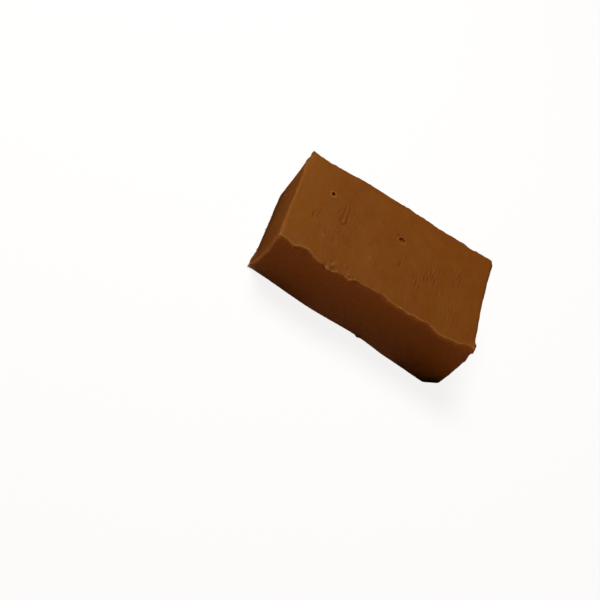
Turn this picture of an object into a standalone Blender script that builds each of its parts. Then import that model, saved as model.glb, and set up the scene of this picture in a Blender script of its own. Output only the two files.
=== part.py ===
"""Chocolate nougat: one block cut from a slab by hand, lying flat on its base.

Metres, +Z up. The block's length runs along X and its width along Y. The front, -Y, is
a fresh cut whose top edge the knife drew out into a wavy lip. The origin is the middle
of the base, under the middle of the block's box.
"""

import itertools
import math

import bmesh
import bpy
from mathutils import Vector, noise

MM = 0.001

# ---- the block that the knife was aiming for ------------------------------------------
LENGTH = 68.0 * MM
WIDTH = 39.0 * MM
HEIGHT = 21.5 * MM

# Where each corner really ended, as millimetres from the true block's corner. The front
# face leans: its base is set back at the left and stands out at the right.
CORNER_MISSES = {
    ("left", "front", "base"): (-0.1, 2.2, 0.0),
    ("right", "front", "base"): (0.1, -0.8, 0.0),
    ("left", "back", "base"): (0.6, -1.1, 0.0),
    ("right", "back", "base"): (0.0, 0.1, 0.0),
    ("left", "front", "top"): (-0.1, -0.6, -0.8),
    ("right", "front", "top"): (0.7, 0.4, 0.8),
    ("left", "back", "top"): (0.0, -0.4, 0.1),
    ("right", "back", "top"): (-0.7, 0.5, 0.9),
}

# ---- worn edges: radius in millimetres of the edge where two faces meet ----------------
EDGE_RADII = {
    ("top", "front"): 0.35,
    ("top", "back"): 0.6,
    ("top", "left"): 0.7,
    ("top", "right"): 1.3,
    ("left", "front"): 0.45,
    ("right", "front"): 0.7,
    ("left", "back"): 0.6,
    ("right", "back"): 0.7,
    ("base", "front"): 0.5,
    ("base", "back"): 0.6,
    ("base", "left"): 0.8,
    ("base", "right"): 0.6,
}
EDGE_BLEND = 0.3 * MM  # how gently one edge's radius gives way to the next
# the two upright edges at the back are pressed rounder than the rest
PRESSED_CORNERS = {("left", "back"): 1.0 * MM, ("right", "back"): 1.7 * MM}
# towards the back, the left end's top edge is worn wider
WIDE_WEAR = 1.7 * MM
WIDE_WEAR_STARTS = 8.0 * MM
WIDE_WEAR_FULL = 16.0 * MM

# ---- how each long line wanders: (place along it, how far it stands out), millimetres --
# crests and hollows of the lip that the knife drew out along the front of the top face
LIP = (
    (-34.0, 0.5), (-29.0, 1.3), (-25.0, 0.3), (-19.0, 2.3), (-16.5, 2.5),
    (-14.6, 1.7), (-10.5, 2.2), (-7.0, 1.0), (1.0, 0.7), (6.5, 1.8), (13.0, 1.8),
    (16.5, 1.4), (22.5, 2.8), (27.5, 2.1), (31.5, 0.8), (34.0, 0.7),
)  # fmt: skip
# how the front face itself swells at its top, behind the lip, and wanders at its base
FRONT_SWELL = ((-34.0, 0.3), (-15.0, 1.1), (-2.0, 0.5), (21.0, 1.5), (34.0, -0.2))
BASE_FRONT = (
    (-34.0, 0.2), (-14.5, 0.6), (6.5, -0.6), (17.5, 0.1), (28.0, 0.4), (34.0, 0.3),
)  # fmt: skip
TOP_BACK = (
    (-34.0, 0.4), (-27.0, 0.0), (-14.0, 0.8), (2.0, 0.8), (9.0, 0.6),
    (14.0, 0.2), (21.0, 0.4), (25.0, 0.1), (29.0, 0.5), (34.0, 0.5),
)  # fmt: skip
BASE_BACK = ((-34.0, 0.0), (-18.0, 0.6), (4.0, -0.3), (20.0, 0.4), (34.0, 0.0))
TOP_LEFT = ((-19.5, 0.0), (-7.0, 0.4), (8.0, 0.3), (13.0, 0.9), (19.5, -0.2))
TOP_RIGHT = ((-19.5, 0.3), (-14.5, -0.3), (0.0, -0.2), (9.0, 0.0), (19.5, 0.7))

LIP_DEPTH = 3.2 * MM  # how far below the top the lip has died away into the face
LIP_DROOP = 0.18  # how far the lip hangs for each millimetre that it stands out
LIP_CRUMBLE = 0.35 * MM  # the broken edge of the lip
CRUMBLE_LENGTH = 2.3 * MM
CRUMBLE_PATTERN = 4.0  # picks the run of noise that breaks the lip
RIGHT_END_BULGE = 0.65 * MM  # the right end is full at half its height

# ---- the rolling of a soft slab's faces ------------------------------------------------
ROLL_HEIGHT = 0.22 * MM
ROLL_LENGTH = 13.0 * MM
DIMPLE_HEIGHT = 0.10 * MM
DIMPLE_LENGTH = 3.6 * MM
DIMPLE_PATTERN = Vector((7.0, 3.0, 5.0))

# ---- crags -----------------------------------------------------------------------------
# (where on the true block, which way the sweet is pulled there, radius of the pull)
CRAGS = (
    ((34.0, -17.3, 21.5), (0.45, 0.0, 0.1), 1.3),  # spur on the right rim by the lip
    ((34.0, -19.5, 20.6), (-0.7, 0.5, 0.0), 0.9),  # notch under it
    ((34.0, -19.5, 19.6), (0.15, -0.3, 0.0), 1.1),  # lower spur
    ((34.0, -19.5, 17.6), (-0.2, 0.15, 0.0), 1.3),  # nick in the upright edge
    ((34.0, -19.5, 15.4), (0.2, -0.25, 0.0), 1.5),  # and the fullness below it
    ((-34.0, -19.5, 0.5), (-0.6, -0.3, 0.0), 1.6),  # burr at the foot of the left end
    ((-34.0, 19.5, 21.5), (-0.7, 0.2, 0.2), 2.4),  # sharp tip at the back of the left end
    ((-17.2, -19.5, 21.5), (0.0, -0.5, -0.1), 1.1),  # broken stretch of the lip
    ((-12.0, -19.5, 21.5), (0.0, 0.6, 0.0), 1.2),
    ((-9.6, -19.5, 21.5), (0.0, -0.4, 0.0), 1.0),
    ((5.5, -19.5, 0.3), (0.0, -0.6, 0.0), 1.2),  # crumb pressed into the base edge
    ((-24.0, 19.5, 12.0), (0.0, -0.4, 0.0), 3.2),  # shallow dents in the back
    ((9.0, 19.5, 7.5), (0.0, -0.45, 0.0), 3.8),
    ((34.0, 7.0, 9.0), (-0.4, 0.0, 0.0), 3.4),  # and in the right end
)

# ---- the right front corner of the base took the weight and is squashed to a flat ------
SQUASH_FACING = Vector((0.548, -0.440, -0.713)).normalized()
SQUASH_DEPTH = 2.05 * MM

# ---- air bubbles that the knife opened -------------------------------------------------
# (where on the true block's face, radii, depth of the middle, all millimetres; turn about Z)
BUBBLES = {
    "bubble_round": ((-22.8, 7.2, 21.5), (0.60, 0.60, 0.75), 0.20, 0),
    "bubble_slot": ((2.7, 5.5, 21.5), (0.95, 0.48, 0.60), 0.10, 26),
    "bubble_back": ((-6.0, 19.5, 13.5), (0.80, 0.60, 0.55), 0.15, 0),
    "bubble_right": ((34.0, -6.5, 14.0), (0.60, 0.65, 0.90), 0.15, 0),
}

# ---- grid of the block, and how much closer its rows stand near the edges --------------
CELLS = (60, 26, 16)
CROWDING = (0.45, 0.6, 0.6)

NOUGAT_BROWN = "#754116"
NOUGAT_ROUGHNESS = 0.55

LOW = Vector((-LENGTH / 2, -WIDTH / 2, 0.0))
HIGH = Vector((LENGTH / 2, WIDTH / 2, HEIGHT))


def clear_scene():
    for obj in list(bpy.data.objects):
        bpy.data.objects.remove(obj)


def linear(hex_colour):
    """An sRGB hex colour as Blender's linear RGBA."""
    values = [int(hex_colour[i : i + 2], 16) / 255 for i in (1, 3, 5)]
    return (
        *(v / 12.92 if v <= 0.04045 else ((v + 0.055) / 1.055) ** 2.4 for v in values),
        1.0,
    )


def chocolate():
    material = bpy.data.materials.new("chocolate_nougat")
    material.use_nodes = True
    shader = material.node_tree.nodes["Principled BSDF"]
    shader.inputs["Base Color"].default_value = linear(NOUGAT_BROWN)
    shader.inputs["Roughness"].default_value = NOUGAT_ROUGHNESS
    shader.inputs["Metallic"].default_value = 0.0
    return material


def smooth(share):
    share = min(max(share, 0.0), 1.0)
    return share * share * (3 - 2 * share)


def along(line, place):
    """How far a wandering line stands out at a place on it, both in metres."""
    place /= MM
    for (start, first), (end, second) in itertools.pairwise(line):
        if place <= end:
            return (first + (second - first) * smooth((place - start) / (end - start))) * MM
    return line[-1][1] * MM


def depths(point):
    """How deep a point lies behind each face of the true block."""
    return {
        "left": point.x - LOW.x,
        "right": HIGH.x - point.x,
        "front": point.y - LOW.y,
        "back": HIGH.y - point.y,
        "base": point.z - LOW.z,
        "top": HIGH.z - point.z,
    }


def edge_radius(point):
    """The radius of the nearest edge, changing smoothly where edges meet."""
    behind = depths(point)
    weights = {
        faces: 1 / (math.hypot(behind[faces[0]], behind[faces[1]]) + EDGE_BLEND) ** 4
        for faces in EDGE_RADII
    }
    radii = {faces: radius * MM for faces, radius in EDGE_RADII.items()}
    wide = smooth((point.y - WIDE_WEAR_STARTS) / (WIDE_WEAR_FULL - WIDE_WEAR_STARTS))
    radii["top", "left"] += wide * WIDE_WEAR
    total = sum(weights.values())
    return sum(radii[faces] * weight for faces, weight in weights.items()) / total


def with_worn_edges(point):
    """A point of the true block moved onto its worn edges, and the way out of it there."""
    radius = edge_radius(point)
    inner = Vector(
        min(max(value, low + radius), high - radius)
        for value, low, high in zip(point, LOW, HIGH)
    )
    outward = (point - inner).normalized()
    return inner + outward * radius, outward


def with_pressed_corners(point):
    """Bends each pressed upright corner's square plan to a quarter circle."""
    behind = depths(point)
    for (end, side), radius in PRESSED_CORNERS.items():
        reach_x = radius - behind[end]
        reach_y = radius - behind[side]
        if reach_x <= 0 or reach_y <= 0:
            continue
        shrink = 1 - max(reach_x, reach_y) / math.hypot(reach_x, reach_y)
        point = point + Vector(
            (
                reach_x * shrink * (1 if end == "left" else -1),
                reach_y * shrink * (1 if side == "front" else -1),
                0.0,
            )
        )
    return point


def corner_miss(point):
    """The misses of the eight corners, blended over the block."""
    share = {
        "right": (point.x - LOW.x) / LENGTH,
        "back": (point.y - LOW.y) / WIDTH,
        "top": point.z / HEIGHT,
    }
    share |= {
        "left": 1 - share["right"],
        "front": 1 - share["back"],
        "base": 1 - share["top"],
    }
    miss = Vector((0.0, 0.0, 0.0))
    for (end, side, level), offset in CORNER_MISSES.items():
        miss += Vector(offset) * (share[end] * share[side] * share[level] * MM)
    return miss


def wander(point):
    """How far the long lines of the block pull this point out of true."""
    back = (point.y - LOW.y) / WIDTH
    right = (point.x - LOW.x) / LENGTH
    top = point.z / HEIGHT
    crumble = noise.noise(Vector((point.x / CRUMBLE_LENGTH, 0.0, CRUMBLE_PATTERN)))
    swell = along(FRONT_SWELL, point.x)
    lip = along(LIP, point.x) + crumble * LIP_CRUMBLE
    proud = 1 - smooth((HEIGHT - point.z) / LIP_DEPTH)
    front = top * swell + (1 - top) * along(BASE_FRONT, point.x) + proud * (lip - swell)
    behind = top * along(TOP_BACK, point.x) + (1 - top) * along(BASE_BACK, point.x)
    near_lip = 1 - smooth((point.y - LOW.y) / (2 * LIP_DEPTH))
    bulge = RIGHT_END_BULGE * 4 * top * (1 - top)
    return Vector(
        (
            right * (top * along(TOP_RIGHT, point.y) + bulge)
            - (1 - right) * top * along(TOP_LEFT, point.y),
            back * behind - (1 - back) * front,
            -near_lip * proud * LIP_DROOP * lip,
        )
    )


def rolling(point):
    """The low waves and dimples of a soft slab, as a height along the way out."""
    wave = noise.noise(point / ROLL_LENGTH) * ROLL_HEIGHT
    dimple = noise.noise(point / DIMPLE_LENGTH + DIMPLE_PATTERN) * DIMPLE_HEIGHT
    return wave + dimple


def crag_pull(point):
    """The pull of the crags near a point of the true block."""
    pull = Vector((0.0, 0.0, 0.0))
    for where, way, radius in CRAGS:
        distance = (point - Vector(where) * MM).length / (radius * MM)
        pull += Vector(way) * (MM * (1 - smooth(distance)))
    return pull


def squashed(point):
    """Brings what would reach past the squashed corner's flat back onto it."""
    miss = Vector(CORNER_MISSES["right", "front", "base"]) * MM
    corner = Vector((HIGH.x, LOW.y, LOW.z)) + miss
    beyond = (point - corner).dot(SQUASH_FACING) + SQUASH_DEPTH
    return point - SQUASH_FACING * max(beyond, 0.0)


def shaped(point):
    """Takes a point from the true block's surface to the real block's."""
    on_base = point.z <= LOW.z
    worn, outward = with_worn_edges(point)
    worn = with_pressed_corners(worn)
    real = worn + corner_miss(worn) + wander(worn)
    real += outward * rolling(real) + crag_pull(point)
    if on_base or real.z < LOW.z:
        real.z = LOW.z
    return squashed(real)


def spread(share, crowding):
    """Draws rows, numbered 0 to 1 across the block, closer together towards its edges."""
    return share - crowding * math.sin(2 * math.pi * share) / (2 * math.pi)


def gridded_box():
    """A bmesh of the true block, its faces cut into a grid of quads."""
    bm = bmesh.new()
    bmesh.ops.create_cube(bm, size=1.0)
    for axis, cells in enumerate(CELLS):
        edges = [
            edge
            for edge in bm.edges
            if abs(edge.verts[0].co[axis] - edge.verts[1].co[axis]) > 0.5
        ]
        bmesh.ops.subdivide_edges(bm, edges=edges, cuts=cells - 1, use_grid_fill=True)
    for vertex in bm.verts:
        for axis, crowding in enumerate(CROWDING):
            share = spread(vertex.co[axis] + 0.5, crowding)
            vertex.co[axis] = LOW[axis] + share * (HIGH[axis] - LOW[axis])
    return bm


def centre_of_plan(bm):
    xs = [vertex.co.x for vertex in bm.verts]
    ys = [vertex.co.y for vertex in bm.verts]
    return Vector(((min(xs) + max(xs)) / 2, (min(ys) + max(ys)) / 2, 0.0))


def add_object(name, bm):
    mesh = bpy.data.meshes.new(name)
    bmesh.ops.recalc_face_normals(bm, faces=bm.faces)
    bm.to_mesh(mesh)
    bm.free()
    mesh.shade_smooth()
    obj = bpy.data.objects.new(name, mesh)
    bpy.context.collection.objects.link(obj)
    return obj


def add_bubble(name, place, radii, depth, turn, shift):
    """A hidden cutter: the air bubble itself, sunk a little behind the real block's face."""
    on_face = Vector(place) * MM
    outward = with_worn_edges(on_face)[1]
    bm = bmesh.new()
    bmesh.ops.create_icosphere(bm, subdivisions=2, radius=1.0)
    bmesh.ops.scale(bm, vec=Vector(radii) * MM, verts=bm.verts)
    cutter = add_object(name, bm)
    cutter.location = shaped(on_face) - outward * depth * MM - shift
    cutter.rotation_euler.z = math.radians(turn)
    cutter.hide_render = True
    cutter.display_type = "WIRE"
    return cutter


def main():
    clear_scene()
    bm = gridded_box()
    for vertex in bm.verts:
        vertex.co = shaped(vertex.co.copy())
    shift = centre_of_plan(bm)
    bmesh.ops.translate(bm, vec=-shift, verts=bm.verts)
    block = add_object("nougat_block", bm)
    block.data.materials.append(chocolate())
    for name, bubble in BUBBLES.items():
        opened = block.modifiers.new(name, "BOOLEAN")
        opened.operation = "DIFFERENCE"
        opened.solver = "EXACT"
        opened.object = add_bubble(name, *bubble, shift)


main()
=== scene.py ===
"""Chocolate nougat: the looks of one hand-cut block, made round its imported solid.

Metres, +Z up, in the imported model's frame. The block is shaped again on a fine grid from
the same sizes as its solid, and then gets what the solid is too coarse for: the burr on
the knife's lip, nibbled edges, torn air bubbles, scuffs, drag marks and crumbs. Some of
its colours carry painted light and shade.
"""

import itertools
import math
import random

import bmesh
import bpy
from mathutils import Matrix, Vector, noise


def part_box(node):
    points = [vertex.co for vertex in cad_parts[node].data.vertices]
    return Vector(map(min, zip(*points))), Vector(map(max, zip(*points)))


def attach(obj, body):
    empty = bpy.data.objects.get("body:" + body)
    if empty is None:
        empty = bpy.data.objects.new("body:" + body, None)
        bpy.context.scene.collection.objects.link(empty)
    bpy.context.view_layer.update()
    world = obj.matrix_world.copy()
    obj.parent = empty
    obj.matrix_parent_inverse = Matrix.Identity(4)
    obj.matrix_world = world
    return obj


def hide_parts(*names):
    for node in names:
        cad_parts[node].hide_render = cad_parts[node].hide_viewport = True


MM = 0.001

# ======== the block's form, as its solid has it ==========================================
LENGTH = 68.0 * MM
WIDTH = 39.0 * MM
HEIGHT = 21.5 * MM

# Where each corner really ended, as millimetres from the true block's corner.
CORNER_MISSES = {
    ("left", "front", "base"): (-0.1, 2.2, 0.0),
    ("right", "front", "base"): (0.1, -0.8, 0.0),
    ("left", "back", "base"): (0.6, -1.1, 0.0),
    ("right", "back", "base"): (0.0, 0.1, 0.0),
    ("left", "front", "top"): (-0.1, -0.6, -0.8),
    ("right", "front", "top"): (0.7, 0.4, 0.8),
    ("left", "back", "top"): (0.0, -0.4, 0.1),
    ("right", "back", "top"): (-0.7, 0.5, 0.9),
}

# Worn edges: radius in millimetres of the edge where two faces meet. The lip's own edge is
# a little wider here than the solid's.
EDGE_RADII = {
    ("top", "front"): 0.55,
    ("top", "back"): 0.6,
    ("top", "left"): 0.7,
    ("top", "right"): 1.3,
    ("left", "front"): 0.45,
    ("right", "front"): 0.7,
    ("left", "back"): 0.6,
    ("right", "back"): 0.7,
    ("base", "front"): 0.5,
    ("base", "back"): 0.6,
    ("base", "left"): 0.8,
    ("base", "right"): 0.6,
}
EDGE_BLEND = 0.3 * MM  # how gently one edge's radius gives way to the next
# the two upright edges at the back are pressed rounder than the rest
PRESSED_CORNERS = {("left", "back"): 1.0 * MM, ("right", "back"): 1.7 * MM}
# towards the back, the left end's top edge is worn wider
WIDE_WEAR = 1.7 * MM
WIDE_WEAR_STARTS = 8.0 * MM
WIDE_WEAR_FULL = 16.0 * MM

# How each long line wanders: (place along it, how far it stands out), millimetres. The
# first is the lip, with its crests and hollows, that the knife drew out along the front.
LIP = (
    (-34.0, 0.5), (-29.0, 1.3), (-25.0, 0.3), (-19.0, 2.3), (-16.5, 2.5),
    (-14.6, 1.7), (-10.5, 2.2), (-7.0, 1.0), (1.0, 0.7), (6.5, 1.8), (13.0, 1.8),
    (16.5, 1.4), (22.5, 2.8), (27.5, 2.1), (31.5, 0.8), (34.0, 0.7),
)  # fmt: skip
# how the front face itself swells at its top, behind the lip, and wanders at its base
FRONT_SWELL = ((-34.0, 0.3), (-15.0, 1.1), (-2.0, 0.5), (21.0, 1.5), (34.0, -0.2))
BASE_FRONT = (
    (-34.0, 0.2), (-14.5, 0.6), (6.5, -0.6), (17.5, 0.1), (28.0, 0.4), (34.0, 0.3),
)  # fmt: skip
TOP_BACK = (
    (-34.0, 0.4), (-27.0, 0.0), (-14.0, 0.8), (2.0, 0.8), (9.0, 0.6),
    (14.0, 0.2), (21.0, 0.4), (25.0, 0.1), (29.0, 0.5), (34.0, 0.5),
)  # fmt: skip
BASE_BACK = ((-34.0, 0.0), (-18.0, 0.6), (4.0, -0.3), (20.0, 0.4), (34.0, 0.0))
TOP_LEFT = ((-19.5, 0.0), (-7.0, 0.4), (8.0, 0.3), (13.0, 0.9), (19.5, -0.2))
TOP_RIGHT = ((-19.5, 0.3), (-14.5, -0.3), (0.0, -0.2), (9.0, 0.0), (19.5, 0.7))

LIP_DEPTH = 3.2 * MM  # how far below the top the lip has died away into the face
LIP_DROOP = 0.18  # how far the lip hangs for each millimetre that it stands out
LIP_CRUMBLE = 0.35 * MM  # the broken edge of the lip
CRUMBLE_LENGTH = 2.3 * MM
CRUMBLE_PATTERN = 4.0  # picks the run of noise that breaks the lip
RIGHT_END_BULGE = 0.65 * MM  # the right end is full at half its height

# The rolling of a soft slab's faces: long low waves, and dimples.
ROLL_HEIGHT = 0.22 * MM
ROLL_LENGTH = 13.0 * MM
DIMPLE_HEIGHT = 0.10 * MM
DIMPLE_LENGTH = 3.6 * MM
DIMPLE_PATTERN = Vector((7.0, 3.0, 5.0))

# Crags: (where on the true block, which way the sweet is pulled there, radius).
CRAGS = (
    ((34.0, -17.3, 21.5), (0.45, 0.0, 0.1), 1.3),
    ((34.0, -19.5, 20.6), (-0.7, 0.5, 0.0), 0.9),
    ((34.0, -19.5, 19.6), (0.15, -0.3, 0.0), 1.1),
    ((34.0, -19.5, 17.6), (-0.2, 0.15, 0.0), 1.3),
    ((34.0, -19.5, 15.4), (0.2, -0.25, 0.0), 1.5),
    ((-34.0, -19.5, 0.5), (-0.6, -0.3, 0.0), 1.6),
    ((-34.0, 19.5, 21.5), (-0.7, 0.2, 0.2), 2.4),
    ((-17.2, -19.5, 21.5), (0.0, -0.5, -0.1), 1.1),
    ((-12.0, -19.5, 21.5), (0.0, 0.6, 0.0), 1.2),
    ((-9.6, -19.5, 21.5), (0.0, -0.4, 0.0), 1.0),
    ((5.5, -19.5, 0.3), (0.0, -0.6, 0.0), 1.2),
    ((-24.0, 19.5, 12.0), (0.0, -0.4, 0.0), 3.2),
    ((9.0, 19.5, 7.5), (0.0, -0.45, 0.0), 3.8),
    ((34.0, 7.0, 9.0), (-0.4, 0.0, 0.0), 3.4),
)

# The right front corner of the base took the weight and is squashed to a flat.
SQUASH_FACING = Vector((0.548, -0.440, -0.713)).normalized()
SQUASH_DEPTH = 2.05 * MM

# ======== what only the looks have =======================================================
# Grid of the block: cells along X, Y and Z, and the first and the last cell of each row
# as shares of a plain one.
CELLS = (330, 84, 42)
END_CELLS = ((0.7, 0.7), (0.22, 0.4), (0.5, 0.25))
CROWDED = 0.14  # the share of a row over which its cells reach their plain size

# A point as near as this to a face of the true block lies on it.
ON_FACE = 0.01 * MM
# Relief that has faded to less than this share is left out.
FAINT = 0.01

# The burr: the thin ridge that the knife turned up along the lip.
BURR = (
    (-34.0, 1.1), (-31.0, 1.0), (-28.0, 1.4), (-24.5, 1.2), (-20.0, 0.8), (-14.0, 0.9),
    (-9.0, 0.8), (-5.0, 0.4), (0.0, 0.6), (4.0, 1.2), (14.0, 1.3), (22.0, 1.0), (29.0, 0.9),
    (32.0, 0.6), (34.0, 1.0),
)  # fmt: skip
BURR_HEIGHT = 0.15 * MM
BURR_INSET = 0.40 * MM
BURR_HALF_WIDTH = 0.30 * MM
BURR_REACH = 3  # half widths from its middle to where it has died away
BURR_BREAKS = 1.4 * MM
BURR_UNEVEN = 0.9  # how much of its height the breaks take away or add
BURR_PATTERN = 11.0  # picks the run of noise that breaks it
# painted highlight: the burr's light line along the lip
BURR_HIGHLIGHT = 0.42

# Nibbles: the broken grain of every edge.
NIBBLE_HEIGHT = 0.10 * MM
NIBBLE_LENGTH = 0.75 * MM
NIBBLE_REACH = 0.7 * MM
# the stretch of the lip that crumbled most: from, to, and its own nibbles
CRUMBLED = (-19.5 * MM, -7.0 * MM)
CRUMBLED_HEIGHT = 0.34 * MM
CRUMBLED_LENGTH = 0.95 * MM
CRUMBLED_REACH = 1.6 * NIBBLE_REACH
CRUMBLED_PATTERN = Vector((0.0, 0.0, 23.0))
CRUMBLED_ENDS = 5  # it sets in over one part in this many of the stretch, at either end

# Drag: long low waves that the knife left across the block.
DRAG_HEIGHT = 0.022 * MM
DRAG_ACROSS = 0.9 * MM
DRAG_ALONG = 8.0 * MM
DRAG_END_PATTERN = 5.0  # picks the noise of the two ends
END_FACING = 0.7  # a face that points as far as this along X is an end
# where the knife dragged most: (x, y, radius) on the top, millimetres, and how many short
# faint marks lie there
DRAG_PATCHES = (
    (-26.0, -4.5, 3.5, 12), (-17.0, 2.5, 4.5, 10), (4.8, -4.2, 2.4, 14),
    (10.8, -6.6, 2.2, 14), (14.6, -2.6, 3.4, 26), (24.0, 5.5, 3.0, 12),
    (-19.0, -7.0, 8.0, 16), (22.0, -10.0, 5.0, 8),
)  # fmt: skip
DRAG_EVERYWHERE = 0.35
SMALL_MARK_LENGTHS = (0.9, 2.6)
SMALL_MARK_DEPTH = 0.060
SMALL_MARK_SHARES = (-0.8, 0.7, 1.0, 1.2)  # the depths drawn from, as shares of it
MARK_SEED = 5

# Knife marks that stand out on the top, along the knife's way: (x and y of the middle,
# length, depth), all millimetres; a raised one has a depth under nought.
KNIFE_MARKS = (
    (-26.3, -4.2, 4.4, 0.11), (-29.4, -1.4, 1.9, 0.05), (-24.3, -1.8, 2.9, 0.06),
    (-24.9, 1.9, 2.2, 0.04), (-20.9, -1.0, 3.4, 0.05), (3.7, -4.0, 3.2, 0.028),
    (4.9, -4.4, 2.8, -0.05), (6.5, -4.2, 2.0, 0.07), (8.3, -5.4, 1.8, 0.05),
    (10.7, -6.4, 3.6, 0.10), (11.6, -7.4, 2.6, -0.06), (12.9, -3.2, 2.8, 0.07),
    (14.0, 4.0, 2.4, 0.05), (14.8, 0.0, 4.0, 0.10), (15.6, 1.6, 2.6, -0.06),
    (14.7, -5.5, 2.4, 0.07), (16.3, -2.4, 2.2, 0.06), (19.1, -5.5, 3.2, -0.07),
    (23.4, 5.4, 2.6, -0.05), (24.7, 6.2, 3.4, 0.06), (29.6, 2.7, 3.0, -0.05),
    (27.4, 0.8, 1.6, 0.04), (25.6, -12.3, 2.6, 0.06), (-12.6, -1.9, 2.0, -0.05),
    (-9.6, 6.4, 2.0, -0.05),
)  # fmt: skip
MARK_HALF_WIDTH = 0.21
MARK_DEEPER = 1.7  # how much deeper than stated they are cut, so that they show
MARK_SHADE_DEPTH = 0.18 * MM  # painted shade: as deep as this a mark is painted as dark as it gets
MARK_REACH = 4  # half widths from its middle to where a mark has died away
MARK_TAPER = 2.5  # how steeply a mark sets in at its ends
SHOULDER = 0.4  # height of a mark's right shoulder, as a share of its depth
SHOULDER_ACROSS = 1.8  # half widths from the mark to its shoulder
# the hairpin that one bubble left as the knife drew it out: the middle and the radius of
# its round end, how far each arm lies from the middle, how long they are and how deep
HAIRPIN = (-16.9, 0.1)
HAIRPIN_RADIUS = 1.05
HAIRPIN_END_WIDER = 1.8
HAIRPIN_ARM = 0.75
HAIRPIN_LENGTH = 8.2
HAIRPIN_DEPTH = 0.12
HAIRPIN_REACH = 3  # millimetres from the middle of its end to where it has died away
HAIRPIN_TAPER = 2  # how steeply its arms fade towards their ends

# Flakes that stand a little proud of the top: (x, y, radius, height), millimetres.
FLAKES = (
    (-21.2, -9.5, 0.75, 0.14), (-16.9, 0.3, 0.50, 0.10), (-1.0, 17.2, 0.35, 0.12),
    (6.0, 15.2, 0.35, 0.12), (14.0, 15.2, 0.30, 0.10), (24.5, 15.4, 0.40, 0.12),
    (-15.6, -17.0, 0.80, 0.16), (-10.5, -17.9, 0.75, 0.18), (-12.1, -15.2, 0.45, 0.10),
    (-5.6, -8.5, 0.80, 0.06), (-4.2, -9.3, 0.40, 0.06),
)  # fmt: skip
FLAKE_SCUFF = 0.23

# Chips and bumps of the edges, as CRAGS.
CHIPS = (
    ((-25.8, 19.5, 21.5), (0.0, 0.25, 0.0), 1.6),
    ((1.4, 19.5, 21.5), (0.0, 0.20, 0.0), 1.3),
    ((4.1, 19.5, 21.5), (0.0, -0.25, 0.0), 1.1),
    ((6.8, 19.5, 21.5), (0.0, 0.18, 0.0), 1.3),
    ((14.3, 19.5, 21.5), (0.0, 0.22, 0.0), 1.4),
    ((22.4, 19.5, 21.5), (0.0, 0.26, 0.0), 1.5),
    ((27.2, 19.5, 21.5), (0.0, 0.24, 0.0), 1.2),
    ((-34.0, 19.5, 17.8), (-0.42, 0.0, 0.0), 2.2),
    ((-34.0, -19.5, 9.0), (0.60, 0.0, 0.0), 11.0),
    ((-34.0, -16.6, 0.2), (-0.70, 0.0, 0.0), 4.6),
    ((-17.8, -19.5, 21.5), (0.0, 0.85, -0.40), 1.8),
    ((-15.2, -19.5, 21.5), (0.0, -0.30, -0.75), 2.1),
    ((-13.0, -19.5, 21.5), (0.0, 0.10, -0.55), 1.6),
)

# Paler edges: partly wear, and partly painted light, most along the lip and on the left end's
# front and base edges: strength of the paling along an edge, and how far it spreads on the
# first and on the second of its two faces, millimetres.
EDGE_WEAR_AND_LIGHT = {
    ("left", "front"): (0.66, 1.5, 0.75),
    ("base", "left"): (0.95, 0.7, 1.5),
    ("top", "left"): (0.38, 1.0, 0.8),
    ("top", "front"): (0.45, 0.6, 0.45),
    ("top", "back"): (0.17, 0.5, 0.5),
    ("top", "right"): (0.20, 0.6, 0.6),
    ("right", "front"): (0.25, 0.4, 0.4),
    ("right", "back"): (0.3, 0.5, 0.5),
    ("left", "back"): (0.3, 0.5, 0.5),
    ("base", "front"): (0.12, 0.4, 0.4),
    ("base", "back"): (0.25, 0.5, 0.5),
    ("base", "right"): (0.25, 0.5, 0.5),
}
PALE_EDGE_LENGTH = 1.6 * MM
# the patches of that length: how strong on the whole, and how much they differ
PALE_EDGE_MEAN = 0.65
PALE_EDGE_PATCHES = 0.7
# the paling is strongest at the base and weakest at the top
PALE_EDGE_AT_BASE = 1.2
PALE_EDGE_AT_TOP = 0.7
# pale corners: painted light on the left front foot (the first two) and a knocked corner at
# the right: (where on the true block, radius, strength), millimetres
LIT_AND_WORN_TIPS = (
    ((-34.0, -19.5, 0.0), 1.9, 1.0), ((-34.0, -19.5, 0.0), 8.0, 0.18),
    ((33.5, -18.5, 21.5), 1.8, 0.3),
)  # fmt: skip
# the rims of the opened bubbles: (x, y, radius, strength), millimetres
BUBBLE_RIMS = ((-22.9, 7.2, 0.95, 0.36), (2.5, 5.2, 1.3, 0.22))
RIM_HALF_WIDTH = 0.40

# The lip is thin, and the light that comes a little way through it is painted as a lighter,
# warmer band on the front: how far down the front, and from where along the lip to where this
# sets in.
THIN_BELOW = 1.2 * MM
THIN_SETS_IN = (-10.0 * MM, 4.0 * MM)

# The knife's sides are tinted redder and deeper than the slab's top and left rim, as painted
# shade for the reddish light that bounces onto them. The left end is tinted yellower, as painted
# light for the lamp's light on it, and is painted darker towards its base, as shade: over how far
# below the top, and up to how high.
SLICED_BELOW = 1.0 * MM
END_SHADE_HEIGHT = 9.0 * MM

# Painted shade: the squashed corner's flat faces down, and is painted darker out to this radius
# and fading from there.
CORNER_SHADE_RADIUS = 2.2 * MM
CORNER_SHADE_FADE = 4.4 * MM

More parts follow.
